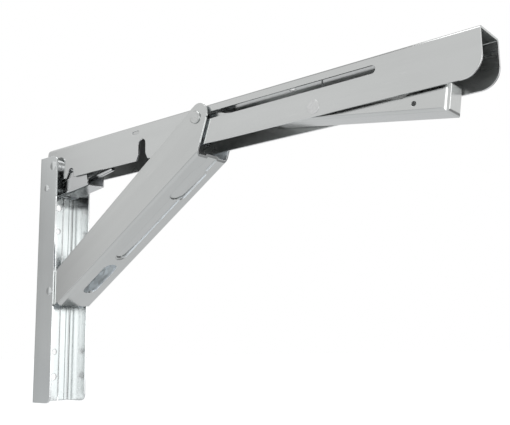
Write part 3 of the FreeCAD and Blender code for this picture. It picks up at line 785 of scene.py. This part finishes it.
class BRACKET_OT_arm(bpy.types.Operator):
    """Finishes the arm that carries the shelf"""
    bl_idname = "bracket.arm"
    bl_label = "Arm"

    def execute(self, context):
        look = context.scene.bracket_finish
        dress("arm_channel", sheet_metal(
            "arm_plating", "arm_channel", look.arm_colour, lines=0.5, clouds=0.3, inner_dullness=0.20))
        return {"FINISHED"}


class BRACKET_OT_brace(bpy.types.Operator):
    """Presses the brace's two tongues into its web and finishes it"""
    bl_idname = "bracket.brace"
    bl_label = "Brace"

    def execute(self, context):
        look = context.scene.bracket_finish
        brace = copy_node("brace_channel", "brace_pressed")
        for start, length, radius in PRESSED_TONGUES:
            press_tongue(brace, start * MM, length * MM, radius * MM)
        finish_shape(brace)
        brace.data.materials.clear()
        brace.data.materials.append(sheet_metal(
            "brace_plating", "brace_channel", look.brace_colour, lines=0.6, clouds=0.3,
            tilt=-BRACE_SLOPE, inner_dullness=0.26, inner_spangle=1.0))
        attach(brace, "brace")
        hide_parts("brace_channel")
        return {"FINISHED"}


class BRACKET_OT_release_lever(bpy.types.Operator):
    """Finishes the release lever under the arm's outer half"""
    bl_idname = "bracket.release_lever"
    bl_label = "Release lever"

    def execute(self, context):
        look = context.scene.bracket_finish
        dress("release_lever", sheet_metal(
            "lever_plating", "release_lever", look.lever_colour, lines=0.5, clouds=0.4,
            tilt=LEVER_TILT, dullness=0.06))
        return {"FINISHED"}


class BRACKET_OT_stop_lever(bpy.types.Operator):
    """Finishes the stop lever with its rod, rod block and hub"""
    bl_idname = "bracket.stop_lever"
    bl_label = "Stop lever"

    def execute(self, context):
        look = context.scene.bracket_finish
        plating = sheet_metal(
            "stop_plating", "stop_lever", look.stop_colour, lines=0.6, clouds=0.5,
            tilt=STOP_TILT, dullness=0.05, inner_dullness=0.30, inner_spangle=0.6)
        dress("stop_lever", plating)
        dress("stop_rod_block", plating)
        dress("stop_rod", turned_metal("rod_steel", look.rivet_colour, PIN_ROUGHNESS, (0, 0, 0)))
        dress("stop_hub", turned_metal("hub_steel", look.bush_colour, HUB_ROUGHNESS, middle("stop_hub")))
        return {"FINISHED"}


class BRACKET_OT_pins(bpy.types.Operator):
    """Makes the brace's stepped rivets, and finishes them and the cross pins with rings round their axes"""
    bl_idname = "bracket.pins"
    bl_label = "Pins and rivets"

    def execute(self, context):
        look = context.scene.bracket_finish
        for side, node in ((-1, "brace_rivet_near"), (1, "brace_rivet_far")):
            rivet = rivet_head(node.replace("brace_rivet", "stepped_rivet"), middle(node), side)
            rivet.data.materials.append(turned_metal(
                rivet.name + "_steel", look.brace_colour, BRACE_RIVET_ROUGHNESS, middle(node)))
            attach(rivet, "brace")
            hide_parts(node)
        for colour, nodes in ((look.wall_colour, ("arm_hinge_pin", "stop_pin", "brace_foot_pin")),
                              (look.rivet_colour, ("lever_rivet",))):
            for node in nodes:
                dress(node, turned_metal(node + "_steel", colour, PIN_ROUGHNESS, middle(node)))
        return {"FINISHED"}


class BRACKET_OT_bushes(bpy.types.Operator):
    """Finishes the slide bushes, washers and spacers"""
    bl_idname = "bracket.bushes"
    bl_label = "Bushes and washers"

    def execute(self, context):
        look = context.scene.bracket_finish
        for kind in ("slide_bush", "hinge_washer", "lever_spacer"):
            for node in (kind + "_near", kind + "_far"):
                dress(node, turned_metal(node + "_steel", look.bush_colour, BUSH_ROUGHNESS, middle(node)))
        return {"FINISHED"}


class BRACKET_OT_spring(bpy.types.Operator):
    """Finishes the release lever's torsion spring"""
    bl_idname = "bracket.spring"
    bl_label = "Spring"

    def execute(self, context):
        look = context.scene.bracket_finish
        dress("lever_spring", turned_metal(
            "spring_wire", look.spring_colour, WIRE_ROUGHNESS, middle("lever_spring")))
        return {"FINISHED"}


class BRACKET_OT_stage(bpy.types.Operator):
    """Adds the floor, the pale surroundings, the lamps and the camera"""
    bl_idname = "bracket.stage"
    bl_label = "Stage"

    def execute(self, context):
        settings = context.scene.bracket_stage
        scene = context.scene
        scene.view_settings.view_transform = "Standard"
        add_floor(settings.floor_drop, settings.floor_colour)
        scene.world = surroundings()
        for name, place, target, size in LAMPS:
            add_lamp(name, place, target, size, getattr(settings, name + "_power"))
        scene.camera = add_camera(settings.lens)
        return {"FINISHED"}


OPERATORS = (
    BRACKET_OT_wall_channel, BRACKET_OT_arm, BRACKET_OT_brace, BRACKET_OT_release_lever,
    BRACKET_OT_stop_lever, BRACKET_OT_pins, BRACKET_OT_bushes, BRACKET_OT_spring, BRACKET_OT_stage)


class BRACKET_PT_panel(bpy.types.Panel):
    """Sizes, colours and steps of the bracket"""
    bl_idname = "BRACKET_PT_panel"
    bl_label = "Folding bracket"
    bl_space_type = "VIEW_3D"
    bl_region_type = "UI"
    bl_category = "Bracket"

    def draw(self, context):
        for settings in (context.scene.bracket_finish, context.scene.bracket_stage):
            box = self.layout.box()
            for name in type(settings).__annotations__:
                box.prop(settings, name)
        for operator in OPERATORS:
            self.layout.operator(operator.bl_idname)


CLASSES = (BracketFinish, BracketStage, *OPERATORS, BRACKET_PT_panel)


def register():
    """Adds the settings, the steps and the panel."""
    for cls in CLASSES:
        bpy.utils.register_class(cls)
    bpy.types.Scene.bracket_finish = bpy.props.PointerProperty(type=BracketFinish)
    bpy.types.Scene.bracket_stage = bpy.props.PointerProperty(type=BracketStage)


def unregister():
    """Takes the panel, the steps and the settings away again."""
    del bpy.types.Scene.bracket_stage
    del bpy.types.Scene.bracket_finish
    for cls in reversed(CLASSES):
        bpy.utils.unregister_class(cls)


def main():
    """Runs every step in order."""
    register()
    bpy.ops.bracket.wall_channel()
    bpy.ops.bracket.arm()
    bpy.ops.bracket.brace()
    bpy.ops.bracket.release_lever()
    bpy.ops.bracket.stop_lever()
    bpy.ops.bracket.pins()
    bpy.ops.bracket.bushes()
    bpy.ops.bracket.spring()
    bpy.ops.bracket.stage()


if __name__ == "__main__":
    main()
